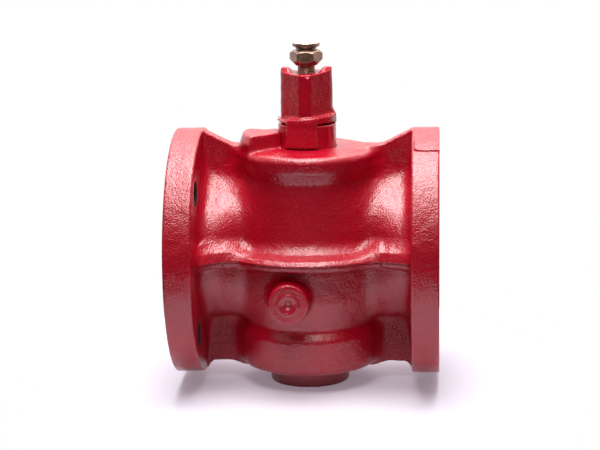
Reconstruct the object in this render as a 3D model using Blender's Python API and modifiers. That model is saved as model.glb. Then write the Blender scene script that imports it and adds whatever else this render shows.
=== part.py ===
"""Flanged quarter-turn plug valve with a wrench-operated, sealant-injected taper plug.

Metres, +Z up. The world origin is the centre of the bottom cap's foot. The pipe axis runs along X at
AXIS_HEIGHT, and the stem axis is Z. Every piece is placed from an empty where those two axes cross, so the
heights below are measured from the pipe axis. The valve stands closed: the plug's port lies along Y, and a
quarter turn opens it.
"""

import math

import bmesh
import bpy

# Clearances
GAP = 0.0003  # between touching pieces
STEM_SLOT = 0.0015  # under the wrench head, above the gland
DECK_CLEARANCE = 0.0005  # under the stop lugs
PLUG_HEADROOM = 0.001  # above the taper, so that the plug can rise as it wears
CUT_PAST = 0.002  # how far a cutter runs out of what it cuts
WELD_DISTANCE = 0.00001  # between points that are one

# Pipe ends
FACE_TO_FACE = 0.2032
FLANGE_RADIUS = 0.09525
FLANGE_THICKNESS = 0.021
BOLT_EDGE_DISTANCE = 0.01905  # from the bolt circle to the rim
BOLT_HOLE_RADIUS = 0.0095
BOLT_HOLES = 4
PIPE_BORE_RADIUS = 0.0381
BORE_STRAIGHT = 0.014  # depth of the round bore before it narrows to the port

# Necks between the flanges and the barrel
NECK_WALL_AT_BARREL = 0.0115
NECK_WALL_AT_FLANGE = 0.0135
NECK_FILLET = 0.009
FLANGE_CHAMFER = 0.0008

# Barrel
BARREL_RADIUS = 0.0523
BARREL_WAIST = 0.0020  # how far the upper barrel draws in under its deck
BARREL_BELLY = 0.0030  # how far the barrel stands out behind the middle ledge
BARREL_HOLLOW = 0.0030  # how far the barrel draws in above the base ring
DECK_HEIGHT = 0.0823
DECK_CROWN = 0.0022
DECK_BAND = 0.013
EDGE_ROUND = 0.0025
BASE_DEPTH = 0.088
BASE_RING_HEIGHT = 0.0265

# Middle ledge along the parting plane
LEDGE_RADIUS = 0.0705
LEDGE_HALF_THICKNESS = 0.003
LEDGE_SWEEP_HEIGHT = 0.015
LEDGE_SWEEP_DEPTH = 0.0135
LEDGE_WING_MIN = 0.0525
LEDGE_WING_MAX = 0.064

# Webs between the flanges and the barrel
WEB_THICKNESS = 0.012
UPPER_WEB_TOP = 0.094
UPPER_WEB_LAND = 0.005
LOWER_WEB_DROP = 0.0005  # below the barrel's base
LOWER_WEB_CHAMFER = 0.005

# Blank boss cast on the front
BOSS_RADIUS = 0.0148
BOSS_DRAFT = 0.0012
BOSS_REACH = 0.074
BOSS_OFFSET = 0.011
BOSS_DROP = 0.026

# Stop block cast on the deck, between two angles round the stem
STOP_INNER_RADIUS = 0.025
STOP_OUTER_RADIUS = 0.0515
STOP_HEIGHT = 0.0117
STOP_START = math.radians(165)
STOP_END = math.radians(217)
STOP_HEEL = math.radians(229)  # where the face that stops the front lug reaches the inner radius

# Taper plug
PLUG_TOP_RADIUS = 0.0355
PLUG_BASE_RADIUS = 0.0415
PLUG_TOP = 0.046
THRUST_ROOM = 0.010  # from the plug down to the bottom cap
PORT_HALF_WIDTH = 0.021
PORT_HALF_HEIGHT = 0.035
PORT_SQUARENESS = 6
SEALANT_GROOVE_RADIUS = 0.0016
SEALANT_GROOVE_ANGLE = math.radians(45)
SEALANT_PASSAGE_RADIUS = 0.0024
CROSS_PASSAGE_RADIUS = 0.0019
SEALANT_GROOVES = 4
SEALANT_GROOVE_LAND = 0.012  # of plain taper below each groove

# Stem and its seal
STEM_RADIUS = 0.0175
PACKING_WIDTH = 0.0051
PACKING_HEIGHT = 0.0045
PACKING_RINGS = 3
PACKING_WASHER = 0.002
BOX_FLOOR_THICKNESS = 0.007
GLAND_TOP = 0.0998
HEAD_CHAMFER = 0.001

# Wrench head
HEAD_ACROSS_FLATS = 0.033
HEAD_CORNER_RADIUS = 0.0196
HEAD_FOOT_RADIUS = 0.022
HEAD_FOOT_THICKNESS = 0.004
HEAD_TOP = 0.1434
HEAD_TROUGH_DEPTH = 0.0059
HEAD_TROUGH_RADIUS = 0.018
LUG_OUTER_RADIUS = 0.027
FRONT_LUG_SPAN = math.radians(64)
REAR_LUG_SPAN = math.radians(18)
QUARTER_TURN = math.radians(90)

# Sealant fitting
FITTING_THREAD_RADIUS = 0.0069
FITTING_THREAD_LENGTH = 0.0215
FITTING_HEX_ACROSS_FLATS = 0.022
FITTING_HEX_HEIGHT = 0.012
FITTING_HEX_STANDOFF = 0.0004  # above the corners of the wrench head
FITTING_NECK_RADIUS = 0.0074
FITTING_NECK_HEIGHT = 0.003
BUTTON_RADIUS = 0.0101
BUTTON_HEIGHT = 0.003
BUTTON_CHAMFER = 0.0007
FITTING_HOLE_RADIUS = 0.0024
FITTING_CHAMBER_RADIUS = 0.0044
FITTING_SEAT_ABOVE_THREAD = 0.0065
FITTING_SEAT_CONE = 0.0008

# Check balls and their springs
CHECK_BALL_RADIUS = 0.0036
CHECK_SPRING_COIL_RADIUS = 0.0030
CHECK_SPRING_WIRE_RADIUS = 0.0004
CHECK_SPRING_TURNS = 4.5
RETAINER_THICKNESS = 0.0018
STEM_CHECK_RADIUS = 0.0050
STEM_CHECK_SEAT_HEIGHT = 0.004
STEM_CHECK_SPRING_LENGTH = 0.012

# Bottom cap, screwed in under the plug
CAP_THREAD_RADIUS = 0.0447
CAP_THREAD_LENGTH = 0.020
CAP_BOSS_RADIUS = 0.0308
CAP_BOSS_HEIGHT = 0.0151
GASKET_THICKNESS = 0.0015
GASKET_WIDTH = 0.0025
SPANNER_HOLES = 4
SPANNER_HOLE_RADIUS = 0.003
SPANNER_HOLE_DEPTH = 0.008

# Thrust train that holds the plug up into its taper
THRUST_PAD_RADIUS = 0.009
THRUST_PAD_DEPTH = 0.006
THRUST_PAD_PROUD = 0.0015
THRUST_BALL_RADIUS = 0.00635
FOLLOWER_RADIUS = 0.012
FOLLOWER_HEIGHT = 0.008
BALL_CUP_DEPTH = 0.0042
DISC_SPRINGS = 2
DISC_SPRING_HOLE_RADIUS = 0.0062
DISC_SPRING_THICKNESS = 0.0014
DISC_SPRING_CONE = 0.0012
ADJUSTER_FLANGE_HEIGHT = 0.003
ADJUSTER_RADIUS = 0.006
ADJUSTER_PROUD = 0.002
ADJUSTER_SLOT_WIDTH = 0.002
ADJUSTER_SEAL_HEIGHT = 0.0024
ADJUSTER_SEAL_WIDTH = 0.0018
LOCK_NUT_ACROSS_FLATS = 0.019
LOCK_NUT_HEIGHT = 0.006
LOCK_NUT_RECESS_RADIUS = 0.014
LOCK_NUT_RECESS_DEPTH = 0.010

# Facets round a full turn
LARGE_ROUND = 48
MEDIUM_ROUND = 36
SMALL_ROUND = 20
ARC_STEPS = 4

# Heights and places that follow from the sizes above
HALF_LENGTH = FACE_TO_FACE / 2
FLANGE_BACK = HALF_LENGTH - FLANGE_THICKNESS
BOLT_CIRCLE_RADIUS = FLANGE_RADIUS - BOLT_EDGE_DISTANCE
AXIS_HEIGHT = BASE_DEPTH + CAP_BOSS_HEIGHT
LOWER_WEB_BOTTOM = BASE_DEPTH + LOWER_WEB_DROP
CAP_TOP = BASE_DEPTH - CAP_THREAD_LENGTH
PLUG_BASE = CAP_TOP - THRUST_ROOM
SEALANT_GROOVE_END = PLUG_BASE - SEALANT_GROOVE_LAND
CHAMBER_TOP = PLUG_TOP + PLUG_HEADROOM
BOX_FLOOR = CHAMBER_TOP + BOX_FLOOR_THICKNESS
BOX_RADIUS = STEM_RADIUS + PACKING_WIDTH
GLAND_OUTER_RADIUS = BOX_RADIUS - GAP
GLAND_INNER_RADIUS = STEM_RADIUS + GAP
PACKING_FLOOR = BOX_FLOOR + GAP + PACKING_WASHER + GAP
GLAND_BOTTOM = PACKING_FLOOR + PACKING_RINGS * (PACKING_HEIGHT + GAP)
HEAD_BOTTOM = GLAND_TOP + STEM_SLOT
HEAD_FLOOR = HEAD_TOP - HEAD_TROUGH_DEPTH
STOP_TOP = DECK_HEIGHT + STOP_HEIGHT
STOP_CLEARANCE_ANGLE = GAP / STOP_INNER_RADIUS
FITTING_HEX_BOTTOM = HEAD_TOP + FITTING_HEX_STANDOFF
FITTING_THREAD_BOTTOM = FITTING_HEX_BOTTOM - FITTING_THREAD_LENGTH
FITTING_HEX_TOP = FITTING_HEX_BOTTOM + FITTING_HEX_HEIGHT
BUTTON_BOTTOM = FITTING_HEX_TOP + FITTING_NECK_HEIGHT
FITTING_SOCKET_BOTTOM = FITTING_THREAD_BOTTOM - GAP
GASKET_SEAT = CAP_TOP - GASKET_THICKNESS - 2 * GAP
GASKET_OUTER_RADIUS = CAP_THREAD_RADIUS
PAD_FACE = PLUG_BASE + THRUST_PAD_PROUD
BALL_CENTRE = PAD_FACE + GAP + THRUST_BALL_RADIUS
FOLLOWER_TOP = BALL_CENTRE + THRUST_BALL_RADIUS + GAP - BALL_CUP_DEPTH
FOLLOWER_BOTTOM = FOLLOWER_TOP + FOLLOWER_HEIGHT
DISC_SPRING_HEIGHT = DISC_SPRING_THICKNESS + DISC_SPRING_CONE
ADJUSTER_TOP = FOLLOWER_BOTTOM + GAP + DISC_SPRINGS * (DISC_SPRING_HEIGHT + GAP)
CAP_POCKET_RADIUS = FOLLOWER_RADIUS + GAP
CAP_POCKET_FLOOR = ADJUSTER_TOP + ADJUSTER_FLANGE_HEIGHT + GAP
LOCK_NUT_SEAT = AXIS_HEIGHT - LOCK_NUT_RECESS_DEPTH
ADJUSTER_BOTTOM = LOCK_NUT_SEAT + GAP + LOCK_NUT_HEIGHT + ADJUSTER_PROUD

for leftover in list(bpy.data.objects):
    bpy.data.objects.remove(leftover)

valve = bpy.data.collections.new("plug_valve")
cutters = bpy.data.collections.new("cutters")
for collection in (valve, cutters):
    bpy.context.scene.collection.children.link(collection)

crossing = bpy.data.objects.new("axis_crossing", None)
crossing.location = (0, 0, AXIS_HEIGHT)
valve.objects.link(crossing)


def finish(name, colour, roughness, metallic):
    """One material of a single colour, roughness and metallic value."""
    made = bpy.data.materials.new(name)
    made.use_nodes = True
    shader = made.node_tree.nodes["Principled BSDF"]
    shader.inputs["Base Color"].default_value = (*colour, 1)
    shader.inputs["Roughness"].default_value = roughness
    shader.inputs["Metallic"].default_value = metallic
    made.diffuse_color = (*colour, 1)
    return made


def red_enamel():
    return finish("red_enamel", (0.55, 0.012, 0.03), 0.3, 0.0)


def plug_iron():
    return finish("plug_iron", (0.52, 0.014, 0.032), 0.33, 0.0)


def plated_steel():
    return finish("plated_steel", (0.42, 0.34, 0.22), 0.35, 1.0)


def bright_steel():
    return finish("bright_steel", (0.62, 0.62, 0.6), 0.25, 1.0)


def spring_steel():
    return finish("spring_steel", (0.3, 0.3, 0.31), 0.35, 1.0)


def packing_fibre():
    return finish("packing_fibre", (0.06, 0.06, 0.065), 0.85, 0.0)


def gasket_fibre():
    return finish("gasket_fibre", (0.22, 0.18, 0.13), 0.9, 0.0)


def seal_rubber():
    return finish("seal_rubber", (0.02, 0.02, 0.02), 0.6, 0.0)


def place(name, data, material=None, location=(0, 0, 0), rotation=(0, 0, 0)):
    """An object at a place in the valve's own frame. Without a material it is a cutter or a guide."""
    made = bpy.data.objects.new(name, data)
    made.parent = crossing
    made.location = location
    made.rotation_euler = rotation
    if material:
        data.materials.append(material)
        valve.objects.link(made)
    else:
        made.hide_render = True
        made.display_type = "WIRE"
        cutters.objects.link(made)
    return made


def turned(name, profile, steps, material=None, location=(0, 0, 0), rotation=(0, 0, 0)):
    """A turned solid. The profile holds (radius, height) points and runs down the outer side first."""
    mesh = bpy.data.meshes.new(name)
    count = len(profile)
    edges = [(i, i + 1) for i in range(count - 1)]
    if min(radius for radius, height in profile) > 0:
        edges.append((count - 1, 0))
    mesh.from_pydata([(radius, 0, height) for radius, height in profile], edges, [])
    made = place(name, mesh, material, location, rotation)
    screw = made.modifiers.new("turn", "SCREW")
    screw.axis = "Z"
    screw.angle = 2 * math.pi
    screw.steps = steps
    screw.render_steps = steps
    screw.use_merge_vertices = True
    screw.merge_threshold = WELD_DISTANCE
    return made


def lofted(name, sections, material=None, location=(0, 0, 0), rotation=(0, 0, 0)):
    """A solid through sections of equally many points, capped at both ends."""
    shape = bmesh.new()
    rings = [[shape.verts.new(point) for point in section] for section in sections]
    count = len(rings[0])
    for lower, upper in zip(rings, rings[1:]):
        for i in range(count):
            j = (i + 1) % count
            shape.faces.new((lower[i], lower[j], upper[j], upper[i]))
    shape.faces.new(rings[0])
    shape.faces.new(rings[-1])
    bmesh.ops.recalc_face_normals(shape, faces=shape.faces)
    mesh = bpy.data.meshes.new(name)
    shape.to_mesh(mesh)
    shape.free()
    return place(name, mesh, material, location, rotation)


def plate(name, outline, thickness, material=None, location=(0, 0, 0), rotation=(0, 0, 0)):
    """A flat outline made solid by half its thickness to each side, as a welded mesh."""
    flat = bpy.data.curves.new(name, "CURVE")
    flat.dimensions = "2D"
    flat.fill_mode = "BOTH"
    flat.extrude = thickness / 2
    spline = flat.splines.new("POLY")
    spline.points.add(len(outline) - 1)
    for point, (across, along) in zip(spline.points, outline):
        point.co = (across, along, 0, 1)
    spline.use_cyclic_u = True
    guide = bpy.data.objects.new(name, flat)
    cutters.objects.link(guide)
    graph = bpy.context.evaluated_depsgraph_get()
    mesh = bpy.data.meshes.new_from_object(guide.evaluated_get(graph))
    bpy.data.objects.remove(guide)
    shape = bmesh.new()
    shape.from_mesh(mesh)
    bmesh.ops.remove_doubles(shape, verts=shape.verts, dist=WELD_DISTANCE)
    bmesh.ops.recalc_face_normals(shape, faces=shape.faces)
    shape.to_mesh(mesh)
    shape.free()
    mesh.materials.clear()
    return place(name, mesh, material, location, rotation)


def rod(name, radius, length, steps, material=None, location=(0, 0, 0), rotation=(0, 0, 0), end_radius=None):
    """A cylinder or a cone centred on its place, along its own Z. The end radius is the upper one."""
    shape = bmesh.new()
    upper = radius if end_radius is None else end_radius
    bmesh.ops.create_cone(
        shape, cap_ends=True, cap_tris=False, segments=steps, radius1=radius, radius2=upper, depth=length
    )
    mesh = bpy.data.meshes.new(name)
    shape.to_mesh(mesh)
    shape.free()
    return place(name, mesh, material, location, rotation)


def ball(name, radius, height, material=None):
    """A ball on the stem axis."""
    shape = bmesh.new()
    bmesh.ops.create_uvsphere(shape, u_segments=SMALL_ROUND, v_segments=SMALL_ROUND // 2, radius=radius)
    mesh = bpy.data.meshes.new(name)
    shape.to_mesh(mesh)
    shape.free()
    return place(name, mesh, material, (0, 0, height))


def combine(target, other, operation):
    """Joins or cuts the target with another solid."""
    boolean = target.modifiers.new(other.name, "BOOLEAN")
    boolean.operation = operation
    boolean.object = other
    boolean.solver = "EXACT"


def arc(radius, start, end, steps):
    """Points along an arc about the origin, both ends included."""
    angles = [start + (end - start) * i / steps for i in range(steps + 1)]
    return [(radius * math.cos(angle), radius * math.sin(angle)) for angle in angles]


def hexagon(across_flats):
    radius = across_flats / 2 / math.cos(math.pi / 6)
    return arc(radius, 0, math.pi * 5 / 3, 5)


def superellipse(half_width, half_height, power, count):
    """Rounded-off rectangle, or an ellipse where the power is 2."""
    points = []
    for i in range(count):
        angle = 2 * math.pi * (i + 0.5) / count
        across = math.copysign(abs(math.cos(angle)) ** (2 / power), math.cos(angle))
        along = math.copysign(abs(math.sin(angle)) ** (2 / power), math.sin(angle))
        points.append((half_width * across, half_height * along))
    return points


def plug_radius(height):
    """Radius of the taper plug at a height from the pipe axis."""
    share = (height + PLUG_BASE) / (PLUG_TOP + PLUG_BASE)
    return PLUG_BASE_RADIUS + (PLUG_TOP_RADIUS - PLUG_BASE_RADIUS) * share


# Valve body casting: two flanges and necks, barrel, ledge, webs, boss and stop block


def spool():
    """Both flanges and necks in one turned shape about the pipe axis."""
    neck_at_flange = PIPE_BORE_RADIUS + NECK_WALL_AT_FLANGE
    neck_at_barrel = PIPE_BORE_RADIUS + NECK_WALL_AT_BARREL
    fillet_foot = FLANGE_BACK - NECK_FILLET
    half = [(0, HALF_LENGTH)]
    half += [(FLANGE_RADIUS - FLANGE_CHAMFER, HALF_LENGTH), (FLANGE_RADIUS, HALF_LENGTH - FLANGE_CHAMFER)]
    half += [(FLANGE_RADIUS, FLANGE_BACK + EDGE_ROUND / 2), (FLANGE_RADIUS - EDGE_ROUND / 2, FLANGE_BACK)]
    for i in range(ARC_STEPS + 1):
        angle = math.pi / 2 * i / ARC_STEPS
        out = NECK_FILLET * (1 - math.sin(angle))
        half.append((neck_at_flange + out, fillet_foot + NECK_FILLET * math.cos(angle)))
    half.append((neck_at_barrel, BARREL_RADIUS * 0.8))
    other_half = [(radius, -along) for radius, along in reversed(half)]
    return turned("valve_body", half + other_half, LARGE_ROUND, red_enamel(), rotation=(0, math.pi / 2, 0))


def barrel():
    """The upright drum that the plug turns in, with a crowned deck and a base ring."""
    waist = BARREL_RADIUS - BARREL_WAIST
    belly = BARREL_RADIUS + BARREL_BELLY
    hollow = BARREL_RADIUS - BARREL_HOLLOW
    ring_top = BASE_RING_HEIGHT - BASE_DEPTH
    rim = DECK_HEIGHT - DECK_CROWN
    profile = [
        (0, DECK_HEIGHT),
        (BARREL_RADIUS / 2, DECK_HEIGHT),
        (BARREL_RADIUS - EDGE_ROUND, rim),
        (BARREL_RADIUS, rim - EDGE_ROUND),
        (BARREL_RADIUS, rim - DECK_BAND),
        (waist, rim - 2 * DECK_BAND),
        (waist, DECK_HEIGHT / 2),
        (belly, LEDGE_SWEEP_HEIGHT),
        (belly, -LEDGE_SWEEP_HEIGHT),
        (BARREL_RADIUS, ring_top / 2),
        (hollow, ring_top + EDGE_ROUND),
        (hollow, ring_top),
        (BARREL_RADIUS, ring_top - EDGE_ROUND),
        (BARREL_RADIUS, EDGE_ROUND - BASE_DEPTH),
        (BARREL_RADIUS - EDGE_ROUND, -BASE_DEPTH),
        (0, -BASE_DEPTH),
    ]
    return turned("barrel", profile, LARGE_ROUND)


def ledge():
    """The ledge round the barrel and along both necks, sweeping up into the casting."""
    reach = FLANGE_BACK + FLANGE_THICKNESS / 4
    stations = 15

    def half_width(along):
        round_part = math.sqrt(max(0, LEDGE_RADIUS**2 - along**2))
        share = max(0, (abs(along) - LEDGE_WING_MIN) / (reach - LEDGE_WING_MIN))
        wing = LEDGE_WING_MIN + (LEDGE_WING_MAX - LEDGE_WING_MIN) * share**2
        return max(round_part, wing)

    def section(height, inset):
        along = [reach * (2 * i / (stations - 1) - 1) for i in range(stations)]
        front = [(x, -half_width(x) + inset, height) for x in along]
        back = [(x, half_width(x) - inset, height) for x in reversed(along)]
        return front + back

    sections = [section(-LEDGE_HALF_THICKNESS, 0)]
    for i in range(ARC_STEPS):
        angle = math.pi / 2 * i / ARC_STEPS
        rise = LEDGE_SWEEP_HEIGHT * (1 - math.cos(angle))
        sections.append(section(LEDGE_HALF_THICKNESS + rise, LEDGE_SWEEP_DEPTH * math.sin(angle)))
    return lofted("ledge", sections)


def webs():
    """Upright webs above and below each neck, in the plane of the pipe and stem axes."""
    flange_inside = FLANGE_BACK + FLANGE_THICKNESS / 4
    barrel_inside = BARREL_RADIUS - EDGE_ROUND
    web_root = barrel_inside - WEB_THICKNESS
    rim = DECK_HEIGHT - DECK_CROWN - EDGE_ROUND
    upper = [
        (flange_inside, PIPE_BORE_RADIUS),
        (flange_inside, UPPER_WEB_TOP),
        (FLANGE_BACK - UPPER_WEB_LAND, UPPER_WEB_TOP),
        (barrel_inside, rim),
        (web_root, rim),
        (web_root, PIPE_BORE_RADIUS),
    ]
    lower = [
        (flange_inside, -PIPE_BORE_RADIUS),
        (web_root, -PIPE_BORE_RADIUS),
        (web_root, -BASE_DEPTH + EDGE_ROUND),
        (barrel_inside, -LOWER_WEB_BOTTOM),
        (FLANGE_BACK - LOWER_WEB_CHAMFER, -LOWER_WEB_BOTTOM),
        (FLANGE_BACK, -LOWER_WEB_BOTTOM - LOWER_WEB_CHAMFER),
        (flange_inside, -LOWER_WEB_BOTTOM - LOWER_WEB_CHAMFER),
    ]
    made = []
    for side, turn in (("right", 0), ("left", math.pi)):
        for level, outline in (("upper", upper), ("lower", lower)):
            mirrored = [(across if turn == 0 else -across, along) for across, along in outline]
            made.append(plate(f"{level}_web_{side}", mirrored, WEB_THICKNESS, rotation=(math.pi / 2, 0, 0)))
    return made


def front_boss():
    """Blank round boss, drawn in slightly towards its face."""
    return rod(
        "front_boss",
        BOSS_RADIUS + BOSS_DRAFT,
        BOSS_REACH / 2,
        MEDIUM_ROUND,
        location=(-BOSS_OFFSET, -BOSS_REACH * 3 / 4, -BOSS_DROP),
        rotation=(math.pi / 2, 0, 0),
        end_radius=BOSS_RADIUS,
    )


def stop_block():
    """Raised sector on the deck that the plug's lugs come up against."""
    depth = DECK_CROWN + EDGE_ROUND
    steps = round((STOP_HEEL - STOP_START) / (2 * math.pi) * LARGE_ROUND)
    outline = arc(STOP_OUTER_RADIUS, STOP_START, STOP_END, steps)
    outline += arc(STOP_INNER_RADIUS, STOP_HEEL, STOP_START, steps)
    height = STOP_TOP - depth
    return plate("stop_block", outline, STOP_HEIGHT + depth, location=(0, 0, (height + DECK_HEIGHT) / 2))


def plug_chamber():
    """Everything bored out about the stem axis, from the cap's thread up to the packing box."""
    profile = [
        (0, DECK_HEIGHT + CUT_PAST),
        (BOX_RADIUS, DECK_HEIGHT + CUT_PAST),
        (BOX_RADIUS, BOX_FLOOR),
        (GLAND_INNER_RADIUS, BOX_FLOOR),
        (GLAND_INNER_RADIUS, CHAMBER_TOP),
        (plug_radius(PLUG_TOP) + GAP, CHAMBER_TOP),
        (plug_radius(-GASKET_SEAT) + GAP, -GASKET_SEAT),
        (CAP_THREAD_RADIUS + GAP, -GASKET_SEAT),
        (CAP_THREAD_RADIUS + GAP, -BASE_DEPTH - CUT_PAST),
        (0, -BASE_DEPTH - CUT_PAST),
    ]
    return turned("plug_chamber", profile, LARGE_ROUND)


def port_core():
    """The waterway: round at the flange faces, narrowing to the plug's tall port."""
    past = HALF_LENGTH + CUT_PAST
    straight = HALF_LENGTH - BORE_STRAIGHT
    narrow = BARREL_RADIUS
    stations = [(-past, 0), (-straight, 0), (-narrow, 1), (narrow, 1), (straight, 0), (past, 0)]
    count = MEDIUM_ROUND
    bore = superellipse(PIPE_BORE_RADIUS, PIPE_BORE_RADIUS, 2, count)
    port = superellipse(PORT_HALF_WIDTH, PORT_HALF_HEIGHT, PORT_SQUARENESS, count)
    sections = [[(along, y, z) for y, z in (port if narrowed else bore)] for along, narrowed in stations]
    return lofted("port_core", sections)


def bolt_holes():
    made = []
    for side in (-1, 1):
        for i in range(BOLT_HOLES):
            angle = 2 * math.pi * (i + 0.5) / BOLT_HOLES
            where = (
                side * (HALF_LENGTH - FLANGE_THICKNESS / 2),
                BOLT_CIRCLE_RADIUS * math.cos(angle),
                BOLT_CIRCLE_RADIUS * math.sin(angle),
            )
            name = f"bolt_hole_{'left' if side < 0 else 'right'}_{i + 1}"
            turn = (0, math.pi / 2, 0)
            length = FLANGE_THICKNESS + 2 * CUT_PAST
            made.append(rod(name, BOLT_HOLE_RADIUS, length, SMALL_ROUND, location=where, rotation=turn))
    return made


def valve_body():
    body = spool()
    for mass in [barrel(), ledge(), *webs(), front_boss(), stop_block()]:
        combine(body, mass, "UNION")
    for hollow in [plug_chamber(), port_core(), *bolt_holes()]:
        combine(body, hollow, "DIFFERENCE")
    return body


# Taper plug with its stem, wrench head and stop lugs


def head_outline():
    """A square with its corners turned round, one corner towards the front."""
    half_flat = math.acos(HEAD_ACROSS_FLATS / 2 / HEAD_CORNER_RADIUS)
    half_corner = math.pi / 4 - half_flat
    outline = []
    for quarter in range(4):
        middle = quarter * math.pi / 2
        outline += arc(HEAD_CORNER_RADIUS, middle - half_corner, middle + half_corner, ARC_STEPS)
    return outline


def stop_lug(name, start, span):
    """A lug that hangs from the head's foot and reaches down outside the gland."""
    shelf_bottom = HEAD_BOTTOM + HEAD_FOOT_THICKNESS / 4
    shelf_top = HEAD_BOTTOM + HEAD_FOOT_THICKNESS * 3 / 4
    lug_bottom = DECK_HEIGHT + DECK_CLEARANCE
    root = STEM_RADIUS - CUT_PAST
    profile = [
        (root, shelf_top),
        (LUG_OUTER_RADIUS, shelf_top),
        (LUG_OUTER_RADIUS, lug_bottom),
        (GLAND_OUTER_RADIUS + GAP, lug_bottom),
        (GLAND_OUTER_RADIUS + GAP, shelf_bottom),
        (root, shelf_bottom),
    ]
    directions = arc(1, start, start + span, max(2, round(span / (2 * math.pi) * LARGE_ROUND)))
    sections = [[(x * radius, y * radius, height) for radius, height in profile] for x, y in directions]
    return lofted(name, sections)


def plug():
    pad_pocket = -PLUG_BASE + THRUST_PAD_DEPTH
    profile = [
        (0, HEAD_BOTTOM + HEAD_FOOT_THICKNESS),
        (HEAD_FOOT_RADIUS - HEAD_CHAMFER, HEAD_BOTTOM + HEAD_FOOT_THICKNESS),
        (HEAD_FOOT_RADIUS, HEAD_BOTTOM + HEAD_FOOT_THICKNESS - HEAD_CHAMFER),
        (HEAD_FOOT_RADIUS, HEAD_BOTTOM),
        (STEM_RADIUS, HEAD_BOTTOM),
        (STEM_RADIUS, PLUG_TOP),
        (PLUG_TOP_RADIUS, PLUG_TOP),
        (PLUG_BASE_RADIUS, -PLUG_BASE),
        (THRUST_PAD_RADIUS + GAP, -PLUG_BASE),
        (THRUST_PAD_RADIUS + GAP, pad_pocket),
        (0, pad_pocket),
    ]
    made = turned("plug", profile, LARGE_ROUND, plug_iron())
    head_height = HEAD_TOP - HEAD_BOTTOM - HEAD_FOOT_THICKNESS / 2
    head = plate("head", head_outline(), head_height, location=(0, 0, HEAD_TOP - head_height / 2))
    combine(made, head, "UNION")
    front_start = STOP_HEEL + STOP_CLEARANCE_ANGLE
    rear_end = STOP_START - STOP_CLEARANCE_ANGLE - QUARTER_TURN
    combine(made, stop_lug("front_lug", front_start, FRONT_LUG_SPAN), "UNION")
    combine(made, stop_lug("rear_lug", rear_end - REAR_LUG_SPAN, REAR_LUG_SPAN), "UNION")
    trough = rod(
        "head_trough",
        HEAD_TROUGH_RADIUS,
        2 * (HEAD_CORNER_RADIUS + CUT_PAST),
        MEDIUM_ROUND,
        location=(0, 0, HEAD_FLOOR + HEAD_TROUGH_RADIUS),
        rotation=(math.pi / 2, 0, 0),
    )
    outline = superellipse(PORT_HALF_WIDTH, PORT_HALF_HEIGHT, PORT_SQUARENESS, MEDIUM_ROUND)
    past = PLUG_BASE_RADIUS + CUT_PAST
    port = lofted("plug_port", [[(x, y, z) for x, z in outline] for y in (-past, past)])
    for hollow in [trough, port, sealant_bore(), *sealant_grooves()]:
        combine(made, hollow, "DIFFERENCE")
    return made


def sealant_bore():
    """The sealant's way down the stem: the fitting's socket, the check valve's seat and the passage below."""
    check_top = FITTING_SOCKET_BOTTOM
    check_bottom = stem_spring_bottom() - GAP
    passage_bottom = (PORT_HALF_HEIGHT + PLUG_TOP) / 2 - SEALANT_PASSAGE_RADIUS / 2
    profile = [
        (0, HEAD_TOP + CUT_PAST),
        (FITTING_THREAD_RADIUS + GAP, HEAD_TOP + CUT_PAST),
        (FITTING_THREAD_RADIUS + GAP, check_top),
        (STEM_CHECK_RADIUS + GAP, check_top),
        (STEM_CHECK_RADIUS + GAP, check_bottom),
        (SEALANT_PASSAGE_RADIUS, check_bottom),
        (SEALANT_PASSAGE_RADIUS, passage_bottom),
        (0, passage_bottom),
    ]
    return turned("sealant_bore", profile, SMALL_ROUND)


def sealant_grooves():
    """Cross passages out of the bore, and the grooves that they feed down the plug's face."""
    made = []
    passage_height = (PORT_HALF_HEIGHT + PLUG_TOP) / 2
    groove_bottom = -SEALANT_GROOVE_END
    tilt = math.atan2(PLUG_BASE_RADIUS - PLUG_TOP_RADIUS, PLUG_TOP + PLUG_BASE)
    length = (passage_height - groove_bottom) / math.cos(tilt)
    middle = (passage_height + groove_bottom) / 2
    for i in range(SEALANT_GROOVES // 2):
        angle = SEALANT_GROOVE_ANGLE + 2 * math.pi * i / SEALANT_GROOVES
        made.append(
            rod(
                f"cross_passage_{i + 1}",
                CROSS_PASSAGE_RADIUS,
                2 * (PLUG_BASE_RADIUS + CUT_PAST),
                SMALL_ROUND // 2,
                location=(0, 0, passage_height),
                rotation=(0, math.pi / 2, angle),
            )
        )
    for i in range(SEALANT_GROOVES):
        angle = SEALANT_GROOVE_ANGLE + 2 * math.pi * i / SEALANT_GROOVES
        radius = plug_radius(middle)
        where = (radius * math.cos(angle), radius * math.sin(angle), middle)
        made.append(
            rod(
                f"sealant_groove_{i + 1}",
                SEALANT_GROOVE_RADIUS,
                length,
                SMALL_ROUND // 2,
                location=where,
                rotation=(0, -tilt, angle),
            )
        )
    return made


# Stem check valve


def seated_ball_height(seat_height, hole_radius):
    """Centre of a check ball that sits just under the rim of its hole."""
    return seat_height - math.sqrt(CHECK_BALL_RADIUS**2 - hole_radius**2) - GAP


def stem_seat_bottom():
    return FITTING_SOCKET_BOTTOM - GAP - STEM_CHECK_SEAT_HEIGHT


def stem_ball_height():
    return seated_ball_height(stem_seat_bottom(), SEALANT_PASSAGE_RADIUS)


def stem_spring_bottom():
    return stem_ball_height() - CHECK_BALL_RADIUS - GAP - STEM_CHECK_SPRING_LENGTH


def ring(name, inner, outer, bottom, top, steps, material):
    """A plain ring about the stem axis."""
    profile = [(outer, top), (outer, bottom), (inner, bottom), (inner, top)]
    return turned(name, profile, steps, material)


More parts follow.
